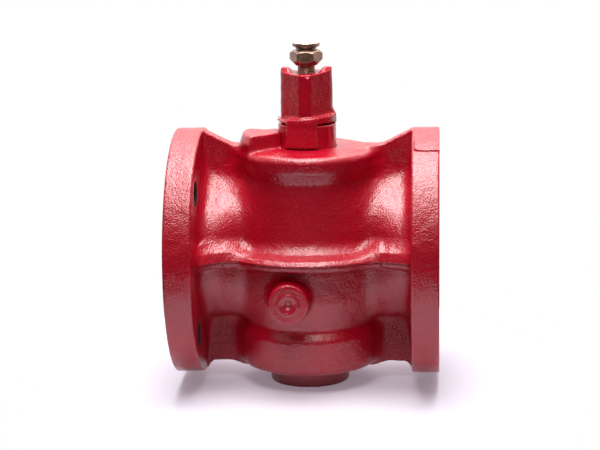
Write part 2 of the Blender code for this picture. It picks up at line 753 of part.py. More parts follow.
def coil(name, bottom, top, material):
    """A check spring, wound between two heights with the wire inside them."""
    points_a_turn = 10
    count = round(CHECK_SPRING_TURNS * points_a_turn)
    wire = bpy.data.curves.new(name, "CURVE")
    wire.dimensions = "3D"
    wire.bevel_depth = CHECK_SPRING_WIRE_RADIUS
    wire.bevel_resolution = 1
    wire.use_fill_caps = True
    spline = wire.splines.new("POLY")
    spline.points.add(count)
    low = bottom + CHECK_SPRING_WIRE_RADIUS
    high = top - CHECK_SPRING_WIRE_RADIUS
    for i, point in enumerate(spline.points):
        angle = 2 * math.pi * i / points_a_turn
        x = CHECK_SPRING_COIL_RADIUS * math.cos(angle)
        y = CHECK_SPRING_COIL_RADIUS * math.sin(angle)
        point.co = (x, y, low + (high - low) * i / count, 1)
    made = place(name, wire, material)
    weld = made.modifiers.new("weld_caps", "WELD")
    weld.merge_threshold = WELD_DISTANCE
    return made


def stem_check_valve():
    seat_bottom = stem_seat_bottom()
    ring(
        "stem_check_seat",
        SEALANT_PASSAGE_RADIUS,
        STEM_CHECK_RADIUS,
        seat_bottom,
        seat_bottom + STEM_CHECK_SEAT_HEIGHT,
        SMALL_ROUND,
        bright_steel(),
    )
    ball("stem_check_ball", CHECK_BALL_RADIUS, stem_ball_height(), bright_steel())
    bottom = stem_spring_bottom()
    coil("stem_check_spring", bottom, bottom + STEM_CHECK_SPRING_LENGTH, spring_steel())


# Sealant fitting with its own check ball


def sealant_fitting():
    seat = FITTING_HEX_BOTTOM + FITTING_SEAT_ABOVE_THREAD
    hex_corner = FITTING_HEX_ACROSS_FLATS / 2 / math.cos(math.pi / 6)
    chamfer = hex_corner - FITTING_HEX_ACROSS_FLATS / 2
    profile = [
        (BUTTON_RADIUS - BUTTON_CHAMFER, BUTTON_BOTTOM + BUTTON_HEIGHT),
        (BUTTON_RADIUS, BUTTON_BOTTOM + BUTTON_HEIGHT - BUTTON_CHAMFER),
        (BUTTON_RADIUS, BUTTON_BOTTOM + BUTTON_CHAMFER),
        (BUTTON_RADIUS - BUTTON_CHAMFER, BUTTON_BOTTOM),
        (FITTING_NECK_RADIUS, BUTTON_BOTTOM),
        (FITTING_NECK_RADIUS, FITTING_HEX_TOP - HEAD_CHAMFER),
        (FITTING_THREAD_RADIUS, FITTING_HEX_BOTTOM + HEAD_CHAMFER),
        (FITTING_THREAD_RADIUS, FITTING_THREAD_BOTTOM),
        (FITTING_CHAMBER_RADIUS, FITTING_THREAD_BOTTOM),
        (FITTING_CHAMBER_RADIUS, seat - FITTING_SEAT_CONE),
        (FITTING_HOLE_RADIUS, seat),
        (FITTING_HOLE_RADIUS, BUTTON_BOTTOM + BUTTON_HEIGHT),
    ]
    made = turned("sealant_fitting", profile, SMALL_ROUND, plated_steel())
    height = (FITTING_HEX_TOP + FITTING_HEX_BOTTOM) / 2
    nut = plate("fitting_hex", hexagon(FITTING_HEX_ACROSS_FLATS), FITTING_HEX_HEIGHT, location=(0, 0, height))
    top_cone = turned(
        "fitting_hex_cone",
        [
            (0, FITTING_HEX_TOP + chamfer),
            (FITTING_HEX_ACROSS_FLATS / 2 - chamfer, FITTING_HEX_TOP + chamfer * 0.2),
            (hex_corner * 1.02, FITTING_HEX_TOP - chamfer * 0.8),
            (hex_corner * 1.02, FITTING_HEX_BOTTOM + chamfer),
            (FITTING_HEX_ACROSS_FLATS / 2 - chamfer, FITTING_HEX_BOTTOM - chamfer * 0.3),
            (0, FITTING_HEX_BOTTOM - chamfer),
        ],
        SMALL_ROUND,
    )
    chamber = turned(
        "fitting_hex_bore",
        [
            (0, FITTING_HEX_TOP + chamfer),
            (FITTING_HOLE_RADIUS, FITTING_HEX_TOP + chamfer),
            (FITTING_HOLE_RADIUS, seat),
            (FITTING_CHAMBER_RADIUS, seat - FITTING_SEAT_CONE),
            (FITTING_CHAMBER_RADIUS, FITTING_HEX_BOTTOM - chamfer),
            (0, FITTING_HEX_BOTTOM - chamfer),
        ],
        SMALL_ROUND,
    )
    combine(nut, top_cone, "INTERSECT")
    combine(nut, chamber, "DIFFERENCE")
    combine(made, nut, "UNION")
    return made


def fitting_check_valve():
    seat = FITTING_HEX_BOTTOM + FITTING_SEAT_ABOVE_THREAD
    centre = seated_ball_height(seat, FITTING_HOLE_RADIUS)
    ball("fitting_check_ball", CHECK_BALL_RADIUS, centre, bright_steel())
    retainer_bottom = FITTING_THREAD_BOTTOM + RETAINER_THICKNESS / 2
    retainer_top = retainer_bottom + RETAINER_THICKNESS
    ring(
        "fitting_spring_retainer",
        FITTING_HOLE_RADIUS,
        FITTING_CHAMBER_RADIUS - GAP,
        retainer_bottom,
        retainer_top,
        SMALL_ROUND,
        bright_steel(),
    )
    coil("fitting_check_spring", retainer_top + GAP, centre - CHECK_BALL_RADIUS - GAP, spring_steel())


# Stem packing and gland


def stem_seal():
    ring(
        "packing_washer",
        GLAND_INNER_RADIUS,
        GLAND_OUTER_RADIUS,
        BOX_FLOOR + GAP,
        BOX_FLOOR + GAP + PACKING_WASHER,
        MEDIUM_ROUND,
        bright_steel(),
    )
    for i in range(PACKING_RINGS):
        bottom = PACKING_FLOOR + i * (PACKING_HEIGHT + GAP)
        ring(
            f"packing_ring_{i + 1}",
            GLAND_INNER_RADIUS,
            GLAND_OUTER_RADIUS,
            bottom,
            bottom + PACKING_HEIGHT,
            MEDIUM_ROUND,
            packing_fibre(),
        )
    profile = [
        (GLAND_OUTER_RADIUS - HEAD_CHAMFER / 2, GLAND_TOP),
        (GLAND_OUTER_RADIUS, GLAND_TOP - HEAD_CHAMFER / 2),
        (GLAND_OUTER_RADIUS, GLAND_BOTTOM),
        (GLAND_INNER_RADIUS, GLAND_BOTTOM),
        (GLAND_INNER_RADIUS, GLAND_TOP),
    ]
    turned("gland", profile, MEDIUM_ROUND, red_enamel())


# Bottom cap and the thrust train in it


def bottom_cap():
    seal_top = seal_groove_top()
    profile = [
        (CAP_THREAD_RADIUS, -CAP_TOP),
        (CAP_THREAD_RADIUS, -BASE_DEPTH),
        (CAP_BOSS_RADIUS, -BASE_DEPTH),
        (CAP_BOSS_RADIUS, HEAD_CHAMFER - AXIS_HEIGHT),
        (CAP_BOSS_RADIUS - HEAD_CHAMFER, -AXIS_HEIGHT),
        (LOCK_NUT_RECESS_RADIUS, -AXIS_HEIGHT),
        (LOCK_NUT_RECESS_RADIUS, -LOCK_NUT_SEAT),
        (ADJUSTER_RADIUS + GAP, -LOCK_NUT_SEAT),
        (ADJUSTER_RADIUS + GAP, seal_top - ADJUSTER_SEAL_HEIGHT - 2 * GAP),
        (ADJUSTER_RADIUS + ADJUSTER_SEAL_WIDTH + 2 * GAP, seal_top - ADJUSTER_SEAL_HEIGHT - 2 * GAP),
        (ADJUSTER_RADIUS + ADJUSTER_SEAL_WIDTH + 2 * GAP, seal_top),
        (ADJUSTER_RADIUS + GAP, seal_top),
        (ADJUSTER_RADIUS + GAP, -CAP_POCKET_FLOOR),
        (CAP_POCKET_RADIUS, -CAP_POCKET_FLOOR),
        (CAP_POCKET_RADIUS, -CAP_TOP),
    ]
    made = turned("bottom_cap", profile, LARGE_ROUND, red_enamel())
    for i in range(SPANNER_HOLES):
        angle = 2 * math.pi * (i + 0.5) / SPANNER_HOLES
        radius = (CAP_BOSS_RADIUS + CAP_THREAD_RADIUS) / 2
        where = (radius * math.cos(angle), radius * math.sin(angle), -BASE_DEPTH)
        name = f"spanner_hole_{i + 1}"
        hole = rod(name, SPANNER_HOLE_RADIUS, SPANNER_HOLE_DEPTH * 2, SMALL_ROUND // 2, location=where)
        combine(made, hole, "DIFFERENCE")
    return made


def seal_groove_top():
    """Top of the groove for the adjuster's seal, midway up the cap's threaded hole."""
    return -(CAP_POCKET_FLOOR + LOCK_NUT_SEAT) / 2 + ADJUSTER_SEAL_HEIGHT / 2 + GAP


def thrust_train():
    pad_top = -PLUG_BASE + THRUST_PAD_DEPTH - GAP
    turned(
        "thrust_pad",
        [(0, pad_top), (THRUST_PAD_RADIUS, pad_top), (THRUST_PAD_RADIUS, -PAD_FACE), (0, -PAD_FACE)],
        SMALL_ROUND,
        bright_steel(),
    )
    ball("thrust_ball", THRUST_BALL_RADIUS, -BALL_CENTRE, bright_steel())
    follower = turned(
        "spring_follower",
        [
            (0, -FOLLOWER_TOP),
            (FOLLOWER_RADIUS, -FOLLOWER_TOP),
            (FOLLOWER_RADIUS, -FOLLOWER_BOTTOM),
            (0, -FOLLOWER_BOTTOM),
        ],
        SMALL_ROUND,
        bright_steel(),
    )
    cup = ball("ball_cup", THRUST_BALL_RADIUS + GAP, -BALL_CENTRE)
    combine(follower, cup, "DIFFERENCE")
    for i in range(DISC_SPRINGS):
        top = -(FOLLOWER_BOTTOM + GAP + i * (DISC_SPRING_HEIGHT + GAP))
        inner_drop = 0 if i % 2 == 0 else DISC_SPRING_CONE
        outer_drop = DISC_SPRING_CONE - inner_drop
        turned(
            f"disc_spring_{i + 1}",
            [
                (FOLLOWER_RADIUS, top - outer_drop),
                (FOLLOWER_RADIUS, top - outer_drop - DISC_SPRING_THICKNESS),
                (DISC_SPRING_HOLE_RADIUS, top - inner_drop - DISC_SPRING_THICKNESS),
                (DISC_SPRING_HOLE_RADIUS, top - inner_drop),
            ],
            SMALL_ROUND,
            spring_steel(),
        )
    adjuster = turned(
        "adjusting_screw",
        [
            (0, -ADJUSTER_TOP),
            (FOLLOWER_RADIUS, -ADJUSTER_TOP),
            (FOLLOWER_RADIUS, -ADJUSTER_TOP - ADJUSTER_FLANGE_HEIGHT),
            (ADJUSTER_RADIUS, -ADJUSTER_TOP - ADJUSTER_FLANGE_HEIGHT),
            (ADJUSTER_RADIUS, -ADJUSTER_BOTTOM),
            (0, -ADJUSTER_BOTTOM),
        ],
        SMALL_ROUND,
        bright_steel(),
    )
    reach = ADJUSTER_RADIUS + CUT_PAST
    blade = [(-reach, -ADJUSTER_SLOT_WIDTH / 2), (reach, -ADJUSTER_SLOT_WIDTH / 2)]
    blade += [(across, -along) for across, along in reversed(blade)]
    slot = plate("adjuster_slot", blade, ADJUSTER_SLOT_WIDTH * 2, location=(0, 0, -ADJUSTER_BOTTOM))
    combine(adjuster, slot, "DIFFERENCE")
    seal_top = seal_groove_top() - GAP
    ring(
        "adjuster_seal",
        ADJUSTER_RADIUS + GAP,
        ADJUSTER_RADIUS + GAP + ADJUSTER_SEAL_WIDTH,
        seal_top - ADJUSTER_SEAL_HEIGHT,
        seal_top,
        SMALL_ROUND,
        seal_rubber(),
    )
    nut_top = -LOCK_NUT_SEAT - GAP
    nut = plate(
        "lock_nut",
        hexagon(LOCK_NUT_ACROSS_FLATS),
        LOCK_NUT_HEIGHT,
        bright_steel(),
        location=(0, 0, nut_top - LOCK_NUT_HEIGHT / 2),
    )
    hole = rod(
        "lock_nut_hole",
        ADJUSTER_RADIUS + GAP,
        LOCK_NUT_HEIGHT * 1.5,
        SMALL_ROUND,
        location=(0, 0, nut_top - LOCK_NUT_HEIGHT / 2),
    )
    combine(nut, hole, "DIFFERENCE")
    ring(
        "cap_gasket",
        GASKET_OUTER_RADIUS - GASKET_WIDTH,
        GASKET_OUTER_RADIUS,
        -CAP_TOP + GAP,
        -CAP_TOP + GAP + GASKET_THICKNESS,
        MEDIUM_ROUND,
        gasket_fibre(),
    )


def shade_round_pieces():
    """Smooth shading up to a sharp angle on every finished piece."""
    for piece in valve.objects:
        if piece.type != "MESH":
            continue
        for modifier in piece.modifiers:
            if modifier.type == "SCREW":
                modifier.use_smooth_shade = True
        piece.data.shade_smooth()
        piece.data.set_sharp_from_angle(angle=math.radians(30))


valve_body()
plug()
stem_check_valve()
sealant_fitting()
fitting_check_valve()
stem_seal()
bottom_cap()
thrust_train()
shade_round_pieces()
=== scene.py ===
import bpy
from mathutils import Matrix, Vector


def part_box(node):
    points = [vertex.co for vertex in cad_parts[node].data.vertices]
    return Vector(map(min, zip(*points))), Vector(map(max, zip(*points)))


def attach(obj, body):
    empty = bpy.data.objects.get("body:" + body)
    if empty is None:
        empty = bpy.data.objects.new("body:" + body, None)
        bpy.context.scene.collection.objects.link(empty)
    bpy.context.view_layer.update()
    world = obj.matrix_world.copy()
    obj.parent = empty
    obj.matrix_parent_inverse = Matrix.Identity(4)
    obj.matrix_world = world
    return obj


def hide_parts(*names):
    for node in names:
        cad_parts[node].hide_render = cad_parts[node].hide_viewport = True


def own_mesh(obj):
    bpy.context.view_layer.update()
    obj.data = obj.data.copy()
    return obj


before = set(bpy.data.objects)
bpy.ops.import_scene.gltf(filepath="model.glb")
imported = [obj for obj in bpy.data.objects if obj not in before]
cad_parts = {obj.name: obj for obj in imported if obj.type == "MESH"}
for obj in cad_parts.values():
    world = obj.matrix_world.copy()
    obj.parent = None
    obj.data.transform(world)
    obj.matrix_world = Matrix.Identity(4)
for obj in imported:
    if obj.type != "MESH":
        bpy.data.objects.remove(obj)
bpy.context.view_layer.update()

import math

import bpy
import numpy as np
import openvdb
from mathutils import Matrix, Vector


# Valve body: one sand casting in grey iron, two flanged necks that meet an upright drum, tied by webs and by
# a ledge along the mould joint. The flange faces, bolt holes and plug seat are machined, and the rest is left
# as cast and sprayed with thick red enamel that pools in the fillets.
AXIS_HEIGHT = 103.1  # heights in millimetres are from the pipe axis, which is this far above the floor
HALF_LENGTH, FLANGE_BACK, FLANGE_RIM = 101.6, 80.6, 95.0
RIM_LIMIT = 95.24  # the texture stays within the solid's rim
BOLT_OFFSET, BOLT_HOLE_RADIUS = 53.88, 9.5  # the four holes straddle the flange's centre lines
PORT_HALF_WIDTH, PORT_HALF_HEIGHT = 21, 35
CASTING_STEP = 0.8
FINE = 0.25  # between the places at which a section is read


def room(low, high, step):
    """Three open rows of places that fill a box."""
    rows = [np.arange(a, b + step, step, dtype=np.float32) for a, b in zip(low, high)]
    return rows[0][:, None, None], rows[1][None, :, None], rows[2][None, None, :]


def eased(corners, pieces=7):
    """An outline whose corners, each (across, along, radius), are turned into arcs."""
    outline = []
    for i, (across, along, radius) in enumerate(corners):
        here = Vector((across, along))
        if not radius:
            outline.append(tuple(here))
            continue
        back = Vector(corners[i - 1][:2]) - here
        on = Vector(corners[(i + 1) % len(corners)][:2]) - here
        half = back.angle(on) / 2
        cut = min(radius / math.tan(half), 0.49 * back.length, 0.49 * on.length)
        middle = here + (back.normalized() + on.normalized()).normalized() * cut / math.cos(half)
        first, last = here + back.normalized() * cut - middle, here + on.normalized() * cut - middle
        shares = [j / (pieces - 1) for j in range(pieces)]
        outline += [tuple(middle + first.length * first.slerp(last, share)) for share in shares]
    return outline


def inside_outline(outline, across, along):
    """How far each place is outside an outline, below zero within it."""
    across, along = np.broadcast_arrays(np.float32(across), np.float32(along))
    nearest = np.full(across.shape, 1e9, np.float32)
    within = np.zeros(across.shape, bool)
    for (ax, ay), (bx, by) in zip(outline, outline[1:] + outline[:1]):
        ex, ey = bx - ax, by - ay
        if ex == ey == 0:
            continue
        wx, wy = across - ax, along - ay
        share = np.clip((wx * ex + wy * ey) / (ex * ex + ey * ey), 0, 1)
        nearest = np.minimum(nearest, (wx - ex * share) ** 2 + (wy - ey * share) ** 2)
        if ey:
            within ^= ((along >= ay) != (along >= by)) & (wx < ex * wy / ey)
    return np.where(within, -1, 1).astype(np.float32) * np.sqrt(nearest)


def turned(outline, radius, along, axis):
    """A section, (radius, along) or for the pipe (along, radius), swung round its axis."""
    reach = np.arange(0, float(radius.max()) + 2 * FINE, FINE, dtype=np.float32)
    if axis == "stem":
        section = inside_outline(outline, reach[:, None], along.ravel()[None, :])
        spread, stack = radius[..., 0], 0
    else:
        section = inside_outline(outline, along.ravel()[:, None], reach[None, :])
        spread, stack = radius[0], 1
    where = spread / FINE
    lower = where.astype(np.int32)
    part = (where - lower).astype(np.float32)
    part = part[..., None] if axis == "stem" else part[None, ...]
    return np.take(section, lower, stack) * (1 - part) + np.take(section, lower + 1, stack) * part


def melt(a, b, reach):
    """Two masses joined with a fillet that reaches this far."""
    blend = np.maximum(reach - np.abs(a - b), 0)
    return np.minimum(a, b) - blend * blend / (4 * reach)


def meet(a, b, reach):
    """What two masses share, with the edge between them eased."""
    return -melt(-a, -b, reach)


def smooth(share):
    """A share held between 0 and 1 and made slow at both ends."""
    share = np.clip(share, 0, 1)
    return share * share * (3 - 2 * share)


def mottle(places, lump, seed):
    """Seeded noise, mostly from -1 to 1, at each place, with lumps this wide."""
    side = 24
    cube = np.random.default_rng(seed).uniform(-1, 1, (side, side, side)).astype(np.float32)
    at = places / lump + 7.3 * seed
    corner = np.floor(at).astype(np.int64)
    part = at - corner
    part = part * part * part * (part * (part * 6 - 15) + 10)
    total = np.zeros(len(places), np.float32)
    for i in (0, 1):
        for j in (0, 1):
            for k in (0, 1):
                weight = np.prod(np.where((i, j, k), part, 1 - part), axis=1)
                near = (corner + (i, j, k)) % side
                total += weight * cube[near[:, 0], near[:, 1], near[:, 2]]
    return total * 1.6


def read_at(field, low, step, places):
    """The value of a field at the grid point nearest to each place."""
    nearest = np.clip(np.rint((places - low) / step).astype(int), 0, np.array(field.shape) - 1)
    return field[nearest[:, 0], nearest[:, 1], nearest[:, 2]]


def skin(name, field, low, step, texture=None):
    """A smooth mesh on the surface of a field, and its places.

    The texture gives how far each place moves out, and how rough it is there.
    """
    volume = openvdb.FloatGrid(3 * step)
    volume.copyFromArray(np.clip(field, -3 * step, 3 * step))
    places, faces = volume.convertToQuads(isovalue=0)
    places = places * step + np.array(low, np.float32)
    a, b, c = (places[faces[:, i]] for i in (0, 1, 2))
    if np.einsum("ij,ij->", a, np.cross(b, c)) < 0:
        faces = faces[:, ::-1]
    mesh = bpy.data.meshes.new(name)
    mesh.vertices.add(len(places))
    mesh.vertices.foreach_set("co", places.ravel())
    mesh.loops.add(faces.size)
    mesh.loops.foreach_set("vertex_index", np.ascontiguousarray(faces, np.int32).ravel())
    mesh.polygons.add(len(faces))
    mesh.polygons.foreach_set("loop_start", np.arange(0, faces.size, 4, dtype=np.int32))
    mesh.polygons.foreach_set("use_smooth", np.ones(len(faces), bool))
    mesh.update(calc_edges=True)
    if texture:
        normals = np.empty(places.size, np.float32)
        mesh.vertices.foreach_get("normal", normals)
        relief, rough = texture(places)
        places = places + normals.reshape(-1, 3) * relief[:, None]
        mesh.attributes.new("as_cast", "FLOAT", "POINT").data.foreach_set("value", rough.astype(np.float32))
    return mesh, places


def cast_iron(low, step, machined, strength=1.0):
    """The texture of a sand casting, which fades out on the surfaces that were cut afterwards."""
    def texture(places):
        rough = np.clip(np.abs(read_at(machined, low, step, places)) / step - 0.6, 0, 1)
        broad, middling, small = mottle(places, 13, 1), mottle(places, 5.2, 2), mottle(places, 2.6, 3)
        relief = 0.16 * broad + 0.07 * middling + 0.05 * small
        return relief * rough * strength, rough
    return texture


def stand(name, mesh, places, lift=AXIS_HEIGHT):
    """Puts a mesh made in millimetres round the pipe axis in its place, in metres."""
    placed = places.astype(np.float32) + np.array((0, 0, lift), np.float32)
    mesh.vertices.foreach_set("co", (placed / 1000).ravel())
    mesh.update()
    made = bpy.data.objects.new(name, mesh)
    bpy.context.scene.collection.objects.link(made)
    return made


low, high = (-104, -98, -98), (104, 98, 98)
x, y, z = room(low, high, CASTING_STEP)
from_pipe, from_stem = np.hypot(y, z), np.hypot(x, y)

flange = eased([
    (FLANGE_BACK, -20, 0), (HALF_LENGTH, -20, 0),
    (HALF_LENGTH, FLANGE_RIM, 0.5), (FLANGE_BACK, FLANGE_RIM, 1.8),
])
flanges = turned(flange, from_pipe, np.abs(x), "pipe")


def near(limit):
    """The part of the room that is close to the pipe."""
    across, tall = (np.abs(row.ravel()) < limit for row in (y, z))
    chosen = np.ix_(np.arange(len(x)), np.flatnonzero(across), np.flatnonzero(tall))
    return chosen, y[:, across], z[..., tall]


def rounded_oblong(across, tall, half_width, half_height, power):
    """How far each place is outside an oblong whose corners are rounded off."""
    ratio = ((np.abs(across) / half_width)**power + (np.abs(tall) / half_height)**power)**(1 / power)
    return (ratio - 1) * np.minimum(half_width, half_height)


close, close_y, close_z = near(68)
spread = smooth((np.abs(x) - 44) / 34)
neck = rounded_oblong(close_y, close_z, 37 + 14 * spread, 47.5 + 3.5 * spread, 3.2 - 1.2 * spread)
casting = np.full(flanges.shape, 99, np.float32)
casting[close] = neck

drum = eased([
    (-60, 82.3, 0), (22, 82.3, 30), (52.8, 80.2, 6.0), (52.2, 69, 6), (47.2, 59.5, 8), (53.5, 12, 40),
    (54.5, -10, 20), (53.9, -32, 25), (48.9, -54.3, 5), (54.0, -60.5, 6.5), (53.6, -88, 5.0), (-60, -88, 0),
])
casting = melt(casting, turned(drum, from_stem, z, "stem"), 14)

upper_web = eased([
    (30, 36, 0), (86, 36, 0), (86, 95.6, 0), (82.0, 95.6, 1.0), (50.3, 80.2, 6), (36, 78.2, 0),
])
lower_web = eased([
    (30, -36, 0), (36, -84, 0), (49.8, -88.2, 2), (75.6, -88.5, 3), (80.6, -93.5, 2), (86, -93.5, 0),
    (86, -36, 0),
])
web_side = np.abs(y) - 6.0
web_fillet = np.interp(z, (-10, 10, 50, 74), (12, 27, 27, 12)).astype(np.float32)
for web in (upper_web, lower_web):
    casting = melt(casting, meet(inside_outline(web, np.abs(x), z), web_side, 1.6), web_fillet)
flange_fillet = np.interp(from_pipe, (60, 84), (11, 3)).astype(np.float32)
casting = melt(flanges, casting, flange_fillet)
casting = np.where(np.abs(x) > 70, np.maximum(casting, from_pipe - FLANGE_RIM), casting)

# The ledge seen from above: a round part round the drum, and a wing to each flange.
LEDGE_RADIUS = 70.3
WING_HALF_WIDTH, WING_START, WING_LENGTH = 52.5, 52.5, 22.5


def ledge_half_width(along):
    """How far the ledge stands out: round about the drum, and flared where it meets a flange."""
    round_part = math.sqrt(max(0, LEDGE_RADIUS**2 - along**2))
    flare = 11.5 if along < 0 else 5.6
    wing = WING_HALF_WIDTH + flare * (max(0, abs(along) - WING_START) / WING_LENGTH) ** 2
    return (round_part**18 + wing**18) ** (1 / 18)


stations = np.arange(-86, 86.1, 2)
ledge_plan = [(a, -ledge_half_width(a)) for a in stations]
ledge_plan += [(a, ledge_half_width(a)) for a in stations[::-1]]
ledge_out = inside_outline(ledge_plan, x[..., 0], y[..., 0])[..., None]

# Sections of the ledge, (out from its edge, height): the underside, the flash line left at the mould joint,
# and a shoulder that is low round the drum and high along the necks.
edge = [
    (-90, -3.6, 0), (-2.2, -3.6, 3.2), (-1.4, 0.8, 0.5), (-2.2, 1.5, 0), (0.7, 1.8, 0.4), (0.5, 2.4, 0.3),
]
drum_ledge = eased(edge + [(-2.3, 5.0, 1.0), (-11.8, 8.2, 2.0), (-19.8, 15.4, 0), (-90, 15.4, 0)])
neck_ledge = eased(edge + [(-1.8, 9.0, 1.5), (-9.5, 15.0, 3.0), (-16, 17.5, 0), (-90, 17.5, 0)])
flash = np.interp(x.ravel(), *zip(*[
    (-104, 0), (-78, 0.4), (-70, 0), (-62, 0.5), (-50, 0.2), (-38, 0.5), (-26, 0.1), (-12, 0.4), (0, 0.6),
    (12, 0.2), (24, 0.5), (36, 0.1), (48, 0.6), (57, 0.6), (59, -0.4), (61, -0.3), (64, 0.5), (76, 0.2),
    (104, 0.3),
]))[:, None].astype(np.float32)
LEDGE_DEPTH = 80  # how far in from its edge the ledge is read
reach = np.arange(-LEDGE_DEPTH, float(ledge_out.max()) + 2, FINE, dtype=np.float32)
row = np.rint((ledge_out[..., 0] - flash + LEDGE_DEPTH) / FINE).astype(int).clip(0, len(reach) - 1)
by_drum, by_neck = (
    np.take(inside_outline(outline, reach[:, None], z.ravel()[None, :]), row, 0)
    for outline in (drum_ledge, neck_ledge)
)
at_neck = smooth((np.abs(x) - 38) / 22)
ledge = by_drum * (1 - at_neck) + by_neck * at_neck
shoulder_fillet = np.interp(np.abs(x), (44, 58), (3, 4.5))
casting = melt(casting, ledge, np.where(z > 4, shoulder_fillet, 3).astype(np.float32))

# The boss on the front, slightly tapered, with a fine ring and a dimple on its face.
BOSS_ACROSS, BOSS_UP, BOSS_RADIUS = -11, -26.6, 15.3
boss_out = np.hypot(x - BOSS_ACROSS, z - BOSS_UP)
boss = meet(boss_out - (BOSS_RADIUS + (y + 74) / 37), -73.8 - y, 1.2)
casting = melt(casting, meet(boss, y + 30, 1), 5)
boss_ring = np.hypot(boss_out - 7.2, y + 73.7) - 0.85
casting = melt(casting, boss_ring, 1.2)
casting = meet(casting, 4.2 - np.sqrt(boss_out**2 + (y + 75.8) ** 2), 0.8)


def ring_points(radius, start, end, pieces=12):
    """Points round the stem between two angles in degrees."""
    angles = np.radians(np.linspace(start, end, pieces))
    return [(radius * math.cos(a), radius * math.sin(a)) for a in angles]


# The stop block on the deck, seen from above: between its arcs is the face that the front lug comes up to.
block_plan = ring_points(56, 165, 212)
block_plan += [(-44.6, -33.0), (-39.5, -26.3), (-18.9, -12.9)]
block_plan += ring_points(22.9, 206, 165)
block_out = inside_outline(block_plan, x[..., 0], y[..., 0])[..., None] + 0.05 * (z - 84)
block_top = z - 94.3 - 0.10 * np.maximum(35 - from_stem, 0)
drum_side = from_stem - np.minimum(53.4 - 0.4 * (z - 83), 51.8)
block = meet(meet(block_out, block_top, 1.4), meet(drum_side, block_top, 2.5), 2.5)
casting = melt(casting, np.maximum(block, 77 - z), 3)

# A thin tab on the rim of the right flange.
TAB_ANGLE, TAB_LENGTH, TAB_INNER_EDGE = math.radians(25.5), 12, 86
tab_along = from_pipe * (np.arctan2(-y, z) - TAB_ANGLE)
tab_side = np.hypot(np.maximum(tab_along, 0), np.maximum(TAB_INNER_EDGE - x, 0)) - 3.2
rim_tab = meet(tab_side, -TAB_LENGTH - tab_along, 1.0)
casting = melt(casting, meet(rim_tab, from_pipe - FLANGE_RIM - 1.4, 0.6), 0.8)

# What is machined or cored: the packing box and taper seat, the bolt holes, and the way through.
seat = [
    (-30, 86), (22.6, 86), (22.6, 54), (17.8, 54), (17.8, 47), (35.8, 47), (42.26, -65.9), (45, -65.9),
    (45, -92), (-30, -92),
]
machined = turned(seat, from_stem, z, "stem")
for over in (-BOLT_OFFSET, BOLT_OFFSET):
    for up in (-BOLT_OFFSET, BOLT_OFFSET):
        hole = np.maximum(np.hypot(y - over, z - up) - BOLT_HOLE_RADIUS, FLANGE_BACK - 2 - np.abs(x))
        machined = np.minimum(machined, hole)
casting = np.maximum(casting, -machined)
machined = np.minimum(machined, HALF_LENGTH - np.abs(x))
close, close_y, close_z = near(42)
way = smooth((np.abs(x) - 52.3) / 35.3)
way_half_width, way_half_height = PORT_HALF_WIDTH + 17.1 * way, PORT_HALF_HEIGHT + 3.1 * way
waterway = rounded_oblong(close_y, close_z, way_half_width, way_half_height, 6 - 4 * way)
casting[close] = np.maximum(casting[close], -waterway)

iron_skin = cast_iron(low, CASTING_STEP, machined)


def body_skin(places):
    """The cast texture, coarser on the lower webs; the bolt holes get -1 for how rough, where the enamel
    turns to unpainted metal darkened with painted shade.
    """
    relief, rough = iron_skin(places)
    along, across, tall = np.abs(places).T
    low_down = np.clip((-40 - places[:, 2]) / 4, 0, 1)
    on_web = np.clip((9 - across) / 2, 0, 1) * low_down * ((along > 50) & (along < 79))
    rough = rough * (1 + 1.6 * on_web)
    from_hole = np.hypot(across - BOLT_OFFSET, tall - BOLT_OFFSET)
    return relief, np.where((from_hole < BOLT_HOLE_RADIUS + 0.6) & (along > 79), -1, rough)


mesh, places = skin("valve_casting", casting, low, CASTING_STEP, body_skin)
places[:, 0] = places[:, 0].clip(-HALF_LENGTH, HALF_LENGTH)
places[:, 1] *= np.minimum(1, RIM_LIMIT / np.maximum(np.abs(places[:, 1]), 1))
valve_casting = stand("valve_casting", mesh, places)


